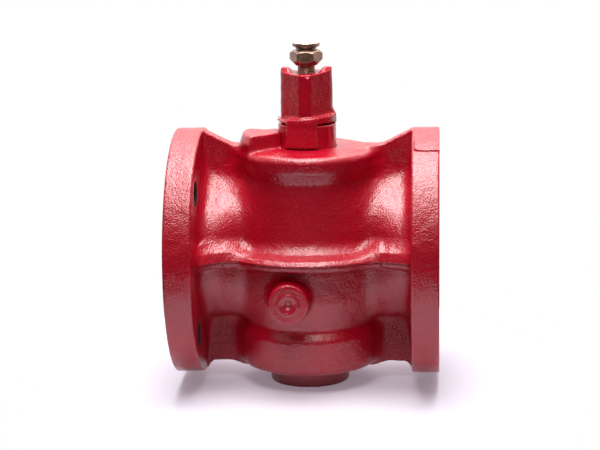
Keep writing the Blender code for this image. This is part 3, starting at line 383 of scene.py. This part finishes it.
def enamel(name, grain=1.0, shine=0.75):
    """Thick glossy red enamel over cast iron, with the sand grain softened but showing on cast surfaces."""
    made = bpy.data.materials.new(name)
    made.use_nodes = True
    nodes, links = made.node_tree.nodes, made.node_tree.links
    shader = nodes["Principled BSDF"]
    shader.inputs["Specular IOR Level"].default_value = shine
    place = nodes.new("ShaderNodeTexCoord")
    rough = nodes.new("ShaderNodeAttribute")
    rough.attribute_name = "as_cast"

    def noise(scale, detail):
        made_noise = nodes.new("ShaderNodeTexNoise")
        made_noise.inputs["Scale"].default_value = scale
        made_noise.inputs["Detail"].default_value = detail
        links.new(place.outputs["Object"], made_noise.inputs["Vector"])
        return made_noise

    cloud, fine = noise(28, 4), noise(1200, 1)
    peel = nodes.new("ShaderNodeTexVoronoi")
    peel.feature = "SMOOTH_F1"
    peel.inputs["Scale"].default_value, peel.inputs["Smoothness"].default_value = 760, 0.5
    links.new(place.outputs["Object"], peel.inputs["Vector"])
    grains = nodes.new("ShaderNodeMath")
    grains.operation = "SUBTRACT"
    links.new(fine.outputs["Fac"], grains.inputs[0])
    links.new(peel.outputs["Distance"], grains.inputs[1])
    tone = nodes.new("ShaderNodeValToRGB")
    tone.color_ramp.elements[0].position, tone.color_ramp.elements[1].position = 0.30, 0.72
    tone.color_ramp.elements[0].color = (0.44, 0.0025, 0.017, 1)
    tone.color_ramp.elements[1].color = (0.53, 0.004, 0.021, 1)
    links.new(cloud.outputs["Fac"], tone.inputs["Fac"])
    # In the bolt holes, where as_cast is -1, the colour goes near black and fully rough. This is unpainted
    # drilled metal, darkened further as painted shade inside the holes.
    hole_metal_and_shade = nodes.new("ShaderNodeMapRange")
    hole_metal_and_shade.inputs["From Min"].default_value, hole_metal_and_shade.inputs["From Max"].default_value = 0, -1
    links.new(rough.outputs["Fac"], hole_metal_and_shade.inputs["Value"])
    coat = nodes.new("ShaderNodeMix")
    coat.data_type = "RGBA"
    coat.inputs["B"].default_value = (0.035, 0.012, 0.012, 1)
    links.new(hole_metal_and_shade.outputs["Result"], coat.inputs["Factor"])
    links.new(tone.outputs["Color"], coat.inputs["A"])
    links.new(coat.outputs["Result"], shader.inputs["Base Color"])
    gloss = nodes.new("ShaderNodeMapRange")
    gloss.inputs["To Min"].default_value, gloss.inputs["To Max"].default_value = 0.13, 0.22
    links.new(fine.outputs["Fac"], gloss.inputs["Value"])
    matt = nodes.new("ShaderNodeMath")
    matt.operation, matt.use_clamp = "ADD", True
    links.new(gloss.outputs["Result"], matt.inputs[0])
    links.new(hole_metal_and_shade.outputs["Result"], matt.inputs[1])
    links.new(matt.outputs[0], shader.inputs["Roughness"])
    depth = nodes.new("ShaderNodeMath")
    depth.operation = "MULTIPLY"
    depth.inputs[1].default_value = 0.32 * grain
    links.new(rough.outputs["Fac"], depth.inputs[0])
    bump = nodes.new("ShaderNodeBump")
    bump.inputs["Distance"].default_value = 0.0008
    links.new(depth.outputs[0], bump.inputs["Strength"])
    links.new(grains.outputs[0], bump.inputs["Height"])
    links.new(bump.outputs["Normal"], shader.inputs["Normal"])
    return made


valve_casting.data.materials.append(enamel("red_enamel_on_casting"))
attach(valve_casting, "casing")
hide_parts("valve_body")


# Plug: a taper plug with its stem, stop lugs and square wrench head in one iron casting. The taper is ground
# to the seat, the stem is turned, and the head and lugs are left rough and sprayed with the body.
PLUG_STEP = 0.6
HEAD_TOP, HALF_FLATS = 143.4, 16.5


def box_field(half_wide, half_deep, across, deep):
    """Square section with sharp corners."""
    a, b = np.abs(across) - half_wide, np.abs(deep) - half_deep
    return np.hypot(np.maximum(a, 0), np.maximum(b, 0)) + np.minimum(np.maximum(a, b), 0)


def sector(inner, outer, start, end, pieces=24):
    """Outline of a piece of a ring round the stem, between two angles in degrees."""
    return ring_points(outer, start, end, pieces) + ring_points(inner, start, end, pieces)[::-1]


low, high = (-44, -44, -61), (44, 44, 146)
x, y, z = room(low, high, PLUG_STEP)
from_stem = np.hypot(x, y)
taper = [(-20, 46), (35.5, 46), (41.5, -58), (9.3, -58), (9.3, -52), (-20, -52)]
stem = [(-20, 45), (17.5, 45), (17.5, 105), (-20, 105)]
plug = np.minimum(turned(taper, from_stem, z, "stem"), turned(stem, from_stem, z, "stem"))
collar = meet(from_stem - 22, z - 105.2 - 0.11 * x, 1.4)
plug = melt(plug, meet(collar, 101.3 - z, 0.8), 1)
for over, up in ((-22.2, 102.4), (-21.7, 104.2)):
    plug = melt(plug, np.sqrt((x - over)**2 + (y + 1)**2 + (z - up)**2) - 0.7, 0.6)
tilted_a, tilted_b = (x + y) / math.sqrt(2), (x - y) / math.sqrt(2)
draft = 0.012 * (z - 124)
flare = 2.4 * np.clip((112 - z) / 6, 0, 1) * np.clip((x - 4) / 9, 0, 1)
square = box_field(HALF_FLATS, HALF_FLATS, tilted_a, tilted_b)
head = meet(square + draft, from_stem - 19.8 + draft - flare, 1.2)
head = meet(meet(head, z - HEAD_TOP, 1.4), 100 - z, 1)
plug = melt(plug, head, 2.0)
for start, span in ((229.7, 64), (56.3, 18)):
    swing = sector(16, 32, start, start + span)
    lug = inside_outline(swing, x[..., 0], y[..., 0])[..., None]
    lug = meet(lug, from_stem - (25.8 - 0.17 * (z - 84)), 1.6)
    lug = meet(meet(lug, z - 105.2, 3.2), 83.5 - z, 1.0)
    lug = np.maximum(lug, np.where(z < 102.3, 22.6 - from_stem, -50))
    plug = melt(plug, lug, 2.4)
horn = smooth(np.clip((np.abs(x) - 8.5) / 6.5, 0, 1) * np.clip((-square - 0.4) / 3.6, 0, 1))
head_end = z - 138.6 - 0.035 * x - 0.0045 * x * x - 3.4 * horn
plug = np.where(z > 120, meet(plug, head_end, 1.3), plug)
chip = 2.2 - np.sqrt((x - 2)**2 + (y + 20.0)**2 + (z - 138.4)**2)
plug = meet(plug, chip, 0.6)
bore = [
    (-20, 150), (7.2, 150), (7.2, 122.0), (5.3, 122.0), (5.3, 98.6), (2.4, 98.6), (2.4, 39.3), (-20, 39.3),
]
cuts = turned(bore, from_stem, z, "stem")
cuts = np.minimum(cuts, rounded_oblong(x, z, PORT_HALF_WIDTH, PORT_HALF_HEIGHT, 6))
for turn in (45, 135):
    c, s = math.cos(math.radians(turn)), math.sin(math.radians(turn))
    cuts = np.minimum(cuts, np.hypot(s * x - c * y, z - 40.5) - 1.9)
    for side in (-1, 1):
        radius = 41.5 - 6.0 * (z + 58) / 104
        groove = np.hypot(x - side * c * radius, y - side * s * radius) - 1.6
        cuts = np.minimum(cuts, np.maximum(groove, np.maximum(z - 40.5, -46 - z)))
plug = np.maximum(plug, -cuts)
rough_part = np.where(z > 101, 5.0, 0.0) + np.where((z > 82) & (from_stem > 22.3), 5.0, 0.0)
mesh, places = skin("plug_and_stem", plug, low, PLUG_STEP, cast_iron(low, PLUG_STEP, rough_part, 0.9))
places[:, 2] = places[:, 2].clip(None, HEAD_TOP)
plug_and_stem = stand("plug_and_stem", mesh, places)
plug_and_stem.data.materials.append(enamel("red_enamel_on_head", 0.6, 0.5))
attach(plug_and_stem, "plug")
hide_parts("plug")


# Gland: a threaded steel sleeve that screws into the packing box and squeezes the packing round the stem. Its
# top stands out of the deck and carries the same enamel.
GLAND_STEP = 0.5
low, high = (-24, -24, 68), (24, 24, 102)
x, y, z = room(low, high, GLAND_STEP)
from_stem = np.hypot(x, y)
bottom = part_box("gland")[0].z * 1000 - AXIS_HEIGHT
sleeve = eased([(17.8, 99.8, 0.6), (22.3, 99.8, 0.9), (22.3, bottom, 0.4), (17.8, bottom, 0.4)])
gland_field = turned(sleeve, from_stem, z, "stem")


def turned_skin(places):
    """A turned surface under enamel: hardly any relief, and no grain."""
    return 0.04 * mottle(places, 3, 5), np.zeros(len(places))


mesh, places = skin("gland_sleeve", gland_field, low, GLAND_STEP, turned_skin)
gland_sleeve = stand("gland_sleeve", mesh, places)
gland_sleeve.data.materials.append(enamel("red_enamel_on_gland", 0.4))
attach(gland_sleeve, "casing")
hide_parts("gland")


# Sealant fitting: a turned and hex-milled steel plug, zinc plated and passivated yellow. It screws down the
# stem and takes the sealant gun on its button head, with a check ball behind the hole.
low, high = (-13.5, -13.5, 121), (13.5, 13.5, 163)
FITTING_STEP = 0.3
x, y, z = room(low, high, FITTING_STEP)
from_stem = np.hypot(x, y)
barrel = eased([
    (-20, 161.8, 0), (9.6, 161.8, 0.4), (10.5, 161.1, 0.3), (10.4, 158.9, 0.3), (9.4, 158.3, 0.3),
    (7.9, 157.9, 0.4), (7.7, 154.8, 0.6), (8.2, 154.8, 0), (6.2, 144.8, 0), (6.9, 142.5, 0),
    (6.9, 122.8, 0.5), (-20, 122.3, 0),
])
fitting = turned(barrel, from_stem, z, "stem")
angle = np.arctan2(y, x)
pitch = 1.41
wave = np.abs((z / pitch - angle / (2 * math.pi)) % 1 - 0.5) * 2
thread = 0.72 * wave * np.clip((143.2 - z) / 0.6, 0, 1)
fitting = np.where(z < 143.6, fitting + thread * 0.8, fitting)
flats = [x * math.cos(turn) + y * math.sin(turn) for turn in np.radians((29.6, 89.6, 149.6))]
hex_out = np.max(np.abs(flats), axis=0) - 11
hex_turned = eased([
    (-20, 155.8, 0), (9.9, 155.8, 0.2), (12.9, 153.4, 0), (12.9, 149.2, 0), (8.2, 144.2, 0.3),
    (-20, 143.8, 0),
])
hexagon = meet(hex_out, turned(hex_turned, from_stem, z, "stem"), 0.25)
fitting = melt(fitting, hexagon, 0.5)
hole = [(-20, 170), (2.4, 170), (2.4, 150.3), (4.4, 149.5), (4.4, 120), (-20, 120)]
fitting = np.maximum(fitting, -turned(hole, from_stem, z, "stem"))
mesh, places = skin("plated_fitting", fitting, low, FITTING_STEP)
plated_fitting = stand("plated_fitting", mesh, places)


def plating(name):
    """Zinc plate with a yellow passivate that runs from grey-brown to gold, pale on top of the button head,
    partly scuffing and partly a painted highlight.
    """
    made = bpy.data.materials.new(name)
    made.use_nodes = True
    nodes, links = made.node_tree.nodes, made.node_tree.links
    shader = nodes["Principled BSDF"]
    shader.inputs["Metallic"].default_value = 0.55
    place = nodes.new("ShaderNodeTexCoord")
    cloud = nodes.new("ShaderNodeTexNoise")
    cloud.inputs["Scale"].default_value, cloud.inputs["Detail"].default_value = 160, 5
    grain = nodes.new("ShaderNodeTexNoise")
    grain.inputs["Scale"].default_value, grain.inputs["Detail"].default_value = 1500, 2
    for source in (cloud, grain):
        links.new(place.outputs["Object"], source.inputs["Vector"])
    tone = nodes.new("ShaderNodeValToRGB")
    tone.color_ramp.elements[0].position, tone.color_ramp.elements[1].position = 0.35, 0.68
    tone.color_ramp.elements[0].color = (0.27, 0.135, 0.105, 1)
    tone.color_ramp.elements[1].color = (0.40, 0.25, 0.17, 1)
    links.new(cloud.outputs["Fac"], tone.inputs["Fac"])
    height = nodes.new("ShaderNodeSeparateXYZ")
    links.new(place.outputs["Object"], height.inputs[0])
    # The top of the button head is mixed towards pale grey: partly scuffing, partly a painted highlight.
    crown = nodes.new("ShaderNodeMapRange")
    crown.inputs["From Min"].default_value, crown.inputs["From Max"].default_value = 0.26435, 0.26475
    links.new(height.outputs["Z"], crown.inputs["Value"])
    scuff_and_highlight = nodes.new("ShaderNodeMix")
    scuff_and_highlight.data_type = "RGBA"
    scuff_and_highlight.inputs["B"].default_value = (0.82, 0.79, 0.74, 1)
    links.new(crown.outputs["Result"], scuff_and_highlight.inputs["Factor"])
    links.new(tone.outputs["Color"], scuff_and_highlight.inputs["A"])
    links.new(scuff_and_highlight.outputs["Result"], shader.inputs["Base Color"])
    gloss = nodes.new("ShaderNodeMapRange")
    gloss.inputs["To Min"].default_value, gloss.inputs["To Max"].default_value = 0.15, 0.28
    links.new(cloud.outputs["Fac"], gloss.inputs["Value"])
    links.new(gloss.outputs["Result"], shader.inputs["Roughness"])
    bump = nodes.new("ShaderNodeBump")
    bump.inputs["Distance"].default_value, bump.inputs["Strength"].default_value = 0.0001, 0.08
    links.new(grain.outputs["Fac"], bump.inputs["Height"])
    links.new(bump.outputs["Normal"], shader.inputs["Normal"])
    return made


plated_fitting.data.materials.append(plating("yellow_zinc_plate"))
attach(plated_fitting, "plug")
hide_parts("sealant_fitting")


# Bottom cap: a threaded iron plug with a round boss that closes the drum under the taper plug and holds the
# adjusting screw. It is enamelled with the body.
CAP_STEP = 0.7
SPANNER_CIRCLE, SPANNER_HOLE_RADIUS = 37.75, 3
low, high = (-47, -47, -105), (47, 47, -66)
x, y, z = room(low, high, CAP_STEP)
from_stem = np.hypot(x, y)
cap_section = eased([
    (12.3, -68, 0.4), (44.7, -68, 0.5), (44.7, -88, 0.6), (31.0, -88, 2.0), (30.8, -AXIS_HEIGHT, 1.2),
    (14, -AXIS_HEIGHT, 0.8), (14, -93.1, 0.4), (6.3, -93.1, 0.2), (6.3, -86.0, 0), (12.3, -86.0, 0.2),
])
cap_field = turned(cap_section, from_stem, z, "stem")
for turn in (45, 135, 225, 315):
    over, up = SPANNER_CIRCLE * math.cos(math.radians(turn)), SPANNER_CIRCLE * math.sin(math.radians(turn))
    cap_field = np.maximum(cap_field, -np.maximum(np.hypot(x - over, y - up) - SPANNER_HOLE_RADIUS, z + 80))
cap_cast = np.broadcast_to(np.where(z < -88.5, 5.0, 0.0), cap_field.shape)
mesh, places = skin("drum_cap", cap_field, low, CAP_STEP, cast_iron(low, CAP_STEP, cap_cast, 0.8))
places[:, 2] = places[:, 2].clip(-AXIS_HEIGHT, None)
drum_cap = stand("drum_cap", mesh, places)
drum_cap.data.materials.append(enamel("red_enamel_on_cap"))
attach(drum_cap, "casing")
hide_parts("bottom_cap")


# Inner pieces: ground steel balls, seats and screws, hard-drawn springs, die-formed packing rings, and the
# joint rings. Each keeps its CAD shape and gets the finish of its stock.
def stock(name, dark, pale, rough, metal, scale):
    """Plain finish of one stock, clouded between two tones, with a fine grain."""
    made = bpy.data.materials.new(name)
    made.use_nodes = True
    nodes, links = made.node_tree.nodes, made.node_tree.links
    shader = nodes["Principled BSDF"]
    shader.inputs["Metallic"].default_value = metal
    place = nodes.new("ShaderNodeTexCoord")
    cloud = nodes.new("ShaderNodeTexNoise")
    cloud.inputs["Scale"].default_value, cloud.inputs["Detail"].default_value = scale, 4
    links.new(place.outputs["Object"], cloud.inputs["Vector"])
    tone = nodes.new("ShaderNodeValToRGB")
    tone.color_ramp.elements[0].position, tone.color_ramp.elements[1].position = 0.3, 0.7
    tone.color_ramp.elements[0].color, tone.color_ramp.elements[1].color = (*dark, 1), (*pale, 1)
    links.new(cloud.outputs["Fac"], tone.inputs["Fac"])
    links.new(tone.outputs["Color"], shader.inputs["Base Color"])
    gloss = nodes.new("ShaderNodeMapRange")
    gloss.inputs["To Min"].default_value, gloss.inputs["To Max"].default_value = rough * 0.8, rough * 1.25
    links.new(cloud.outputs["Fac"], gloss.inputs["Value"])
    links.new(gloss.outputs["Result"], shader.inputs["Roughness"])
    bump = nodes.new("ShaderNodeBump")
    bump.inputs["Distance"].default_value, bump.inputs["Strength"].default_value = 0.0001, 0.25
    links.new(cloud.outputs["Fac"], bump.inputs["Height"])
    links.new(bump.outputs["Normal"], shader.inputs["Normal"])
    return made


ground_steel = stock("ground_steel", (0.42, 0.42, 0.43), (0.58, 0.58, 0.59), 0.22, 1.0, 900)
spring_wire = stock("spring_wire", (0.22, 0.22, 0.24), (0.36, 0.35, 0.35), 0.34, 1.0, 1200)
graphite_yarn = stock("graphite_yarn", (0.03, 0.03, 0.032), (0.07, 0.07, 0.072), 0.6, 0.0, 1800)
joint_board = stock("joint_board", (0.10, 0.11, 0.12), (0.16, 0.17, 0.18), 0.7, 0.0, 1500)
black_rubber = stock("black_rubber", (0.015, 0.015, 0.016), (0.03, 0.03, 0.031), 0.55, 0.0, 700)
finishes = {
    "packing_washer": ground_steel, "packing_ring_1": graphite_yarn, "packing_ring_2": graphite_yarn,
    "packing_ring_3": graphite_yarn, "cap_gasket": joint_board, "adjusting_screw": ground_steel,
    "lock_nut": ground_steel, "adjuster_seal": black_rubber, "disc_spring_1": spring_wire,
    "disc_spring_2": spring_wire, "spring_follower": ground_steel, "thrust_ball": ground_steel,
    "thrust_pad": ground_steel, "fitting_spring_retainer": ground_steel, "stem_check_seat": ground_steel,
    "fitting_check_ball": ground_steel, "stem_check_ball": ground_steel,
}
for node, finish in finishes.items():
    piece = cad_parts[node]
    piece.data.materials.clear()
    piece.data.materials.append(finish)


# Check springs: two fine coils of hard-drawn wire, in the fitting and in the stem, that hold each check ball
# on its seat. The end turns lie flat.
COIL_RADIUS, COIL_TURNS, COIL_STEPS = 0.003, 5.5, 130
WIRE_RADIUS, END_ROOM = 0.00039, 0.0004
CLIMB_RATE, CLIMB_START = 1.22, 0.11  # the wire climbs only between its flat ends
springs = {"fitting_check_spring": "fitting_check_travel", "stem_check_spring": "stem_check_travel"}
for node, joint in springs.items():
    foot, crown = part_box(node)
    wire = bpy.data.curves.new(node + "_wire", "CURVE")
    wire.dimensions, wire.bevel_depth, wire.bevel_resolution, wire.use_fill_caps = "3D", WIRE_RADIUS, 3, True
    spline = wire.splines.new("POLY")
    spline.points.add(COIL_STEPS)
    for i, point in enumerate(spline.points):
        turn = 2 * math.pi * COIL_TURNS * i / COIL_STEPS
        climb = min(max(CLIMB_RATE * i / COIL_STEPS - CLIMB_START, 0), 1)
        height = foot.z + END_ROOM + (crown.z - foot.z - 2 * END_ROOM) * climb
        point.co = (COIL_RADIUS * math.cos(turn), COIL_RADIUS * math.sin(turn), height, 1)
    bent = bpy.data.objects.new(node + "_wire", wire)
    spring = bpy.data.objects.new(node + "_coil", bpy.data.meshes.new_from_object(bent))
    bpy.context.scene.collection.objects.link(spring)
    bpy.data.objects.remove(bent)
    spring.data.materials.clear()
    spring.data.materials.append(spring_wire)
    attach(spring, "plug")
    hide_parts(node)
    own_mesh(spring)


# Studio: a round white sweep under the valve, a large soft light overhead with a weaker strip in front of it
# and a broad one behind, and the camera where the photograph was taken.
FLOOR_WIDE, FLOOR_DEEP, FLOOR_FORWARD, FLOOR_CORNERS = 0.21, 0.31, 0.05, 96


def sweep_white(name, tone, seen_tone, lift):
    """Matt white that still shows a shadow, paler and lifted where the camera or a reflection sees it."""
    made = bpy.data.materials.new(name)
    made.use_nodes = True
    nodes, links = made.node_tree.nodes, made.node_tree.links
    nodes.clear()
    out = nodes.new("ShaderNodeOutputMaterial")
    matt = nodes.new("ShaderNodeBsdfDiffuse")
    paint = nodes.new("ShaderNodeMix")
    paint.data_type = "RGBA"
    paint.inputs["A"].default_value, paint.inputs["B"].default_value = (*tone, 1), (*seen_tone, 1)
    links.new(paint.outputs["Result"], matt.inputs["Color"])
    glow = nodes.new("ShaderNodeEmission")
    glow.inputs["Color"].default_value = (0.88, 0.85, 1.0, 1)
    path = nodes.new("ShaderNodeLightPath")
    seen = nodes.new("ShaderNodeMath")
    seen.operation, seen.use_clamp = "ADD", True
    links.new(path.outputs["Is Camera Ray"], seen.inputs[0])
    links.new(path.outputs["Is Glossy Ray"], seen.inputs[1])
    links.new(seen.outputs[0], paint.inputs["Factor"])
    level = nodes.new("ShaderNodeMath")
    level.operation = "MULTIPLY"
    level.inputs[1].default_value = lift
    links.new(seen.outputs[0], level.inputs[0])
    links.new(level.outputs[0], glow.inputs["Strength"])
    both = nodes.new("ShaderNodeAddShader")
    links.new(matt.outputs[0], both.inputs[0])
    links.new(glow.outputs[0], both.inputs[1])
    links.new(both.outputs[0], out.inputs["Surface"])
    return made


floor_mesh = bpy.data.meshes.new("floor")
turns = np.linspace(0, 2 * math.pi, FLOOR_CORNERS + 1)[:-1]
floor_edge = [(FLOOR_WIDE * math.cos(a), FLOOR_DEEP * math.sin(a) - FLOOR_FORWARD, 0) for a in turns]
floor_mesh.from_pydata(floor_edge, [], [range(FLOOR_CORNERS)])
floor = bpy.data.objects.new("floor", floor_mesh)
bpy.context.scene.collection.objects.link(floor)
floor_mesh.materials.append(sweep_white("sweep_white", (0.56, 0.53, 0.60), (0.74, 0.70, 0.78), 0.215))

world = bpy.data.worlds.new("studio_air")
bpy.context.scene.world = world
world.use_nodes = True
nodes, links = world.node_tree.nodes, world.node_tree.links
air = nodes["Background"]
air.inputs["Color"].default_value = (1, 1, 1, 1)
where = nodes.new("ShaderNodeTexCoord")
split = nodes.new("ShaderNodeSeparateXYZ")
links.new(where.outputs["Generated"], split.inputs[0])
path = nodes.new("ShaderNodeLightPath")


def graded(source, low, high, dark, light):
    """A value that climbs from dark to light as one part of the direction goes from low to high."""
    climb = nodes.new("ShaderNodeMapRange")
    climb.interpolation_type = "SMOOTHSTEP"
    for socket, value in zip(("From Min", "From Max", "To Min", "To Max"), (low, high, dark, light)):
        climb.inputs[socket].default_value = value
    links.new(split.outputs[source], climb.inputs["Value"])
    return climb.outputs["Result"]


def reckon(operation, first, second):
    """One clamped sum, product or comparison of two values."""
    made = nodes.new("ShaderNodeMath")
    made.operation, made.use_clamp = operation, operation != "MULTIPLY"
    for socket, value in zip(made.inputs, (first, second)):
        if isinstance(value, float):
            socket.default_value = value
        else:
            links.new(value, socket)
    return made.outputs[0]


backdrop_side = reckon("MAXIMUM", graded("Z", 0.35, 0.85, 0.0, 1.0), graded("Y", -0.35, 0.5, 0.0, 1.0))
studio = reckon("ADD", graded("Z", 0.0, 0.9, 0.05, 0.30), graded("Y", 0.0, 1.0, 0.0, 0.25))
reflected = reckon("ADD", path.outputs["Is Glossy Ray"], path.outputs["Is Transmission Ray"])
mirrored = reckon("MULTIPLY", reflected, backdrop_side)
strength = nodes.new("ShaderNodeMix")
strength.inputs["B"].default_value = 1.0
links.new(reckon("ADD", path.outputs["Is Camera Ray"], mirrored), strength.inputs["Factor"])
links.new(studio, strength.inputs["A"])
links.new(strength.outputs["Result"], air.inputs["Strength"])


def softbox(name, place, aim, size, watts):
    """A soft rectangular light that faces the place it is aimed at."""
    lamp = bpy.data.lights.new(name, "AREA")
    lamp.shape, lamp.size, lamp.size_y, lamp.energy = "RECTANGLE", size[0], size[1], watts
    made = bpy.data.objects.new(name, lamp)
    made.location = place
    made.rotation_euler = (Vector(aim) - Vector(place)).to_track_quat("-Z", "Y").to_euler()
    bpy.context.scene.collection.objects.link(made)
    return made


softbox("overhead_softbox", (0.0, 0.0, 1.15), (0, 0, 0.1), (0.70, 0.70), 14.5)
softbox("front_strip", (-0.05, -0.60, 1.05), (0, 0, 0.1), (0.50, 0.38), 4.1)
softbox("rear_softbox", (0.0, 0.80, 1.10), (0, 0, 0.1), (1.6, 0.9), 8)

SENSOR_WIDTH, PICTURE_WIDTH, FOCAL_PIXELS = 36, 600, 1868.25
camera_data = bpy.data.cameras.new("camera")
camera_data.sensor_width, camera_data.lens = SENSOR_WIDTH, FOCAL_PIXELS * SENSOR_WIDTH / PICTURE_WIDTH
camera_data.clip_start, camera_data.clip_end = 0.05, 30
camera = bpy.data.objects.new("camera", camera_data)
yaw, pitch_down, roll = -0.0762, 0.208, -0.0149
level_part = math.cos(pitch_down)
ahead = Vector((math.sin(yaw) * level_part, math.cos(yaw) * level_part, -math.sin(pitch_down)))
level_right = Vector((math.cos(yaw), -math.sin(yaw), 0))
level_up = level_right.cross(ahead)
right = math.cos(roll) * level_right + math.sin(roll) * level_up
up = -math.sin(roll) * level_right + math.cos(roll) * level_up
facing = Matrix((right, up, -ahead)).transposed().to_4x4()
camera.matrix_world = Matrix.Translation((0.1016, -1.4175, 0.4224)) @ facing
bpy.context.scene.collection.objects.link(camera)
bpy.context.scene.camera = camera
bpy.context.scene.view_settings.view_transform = "Standard"
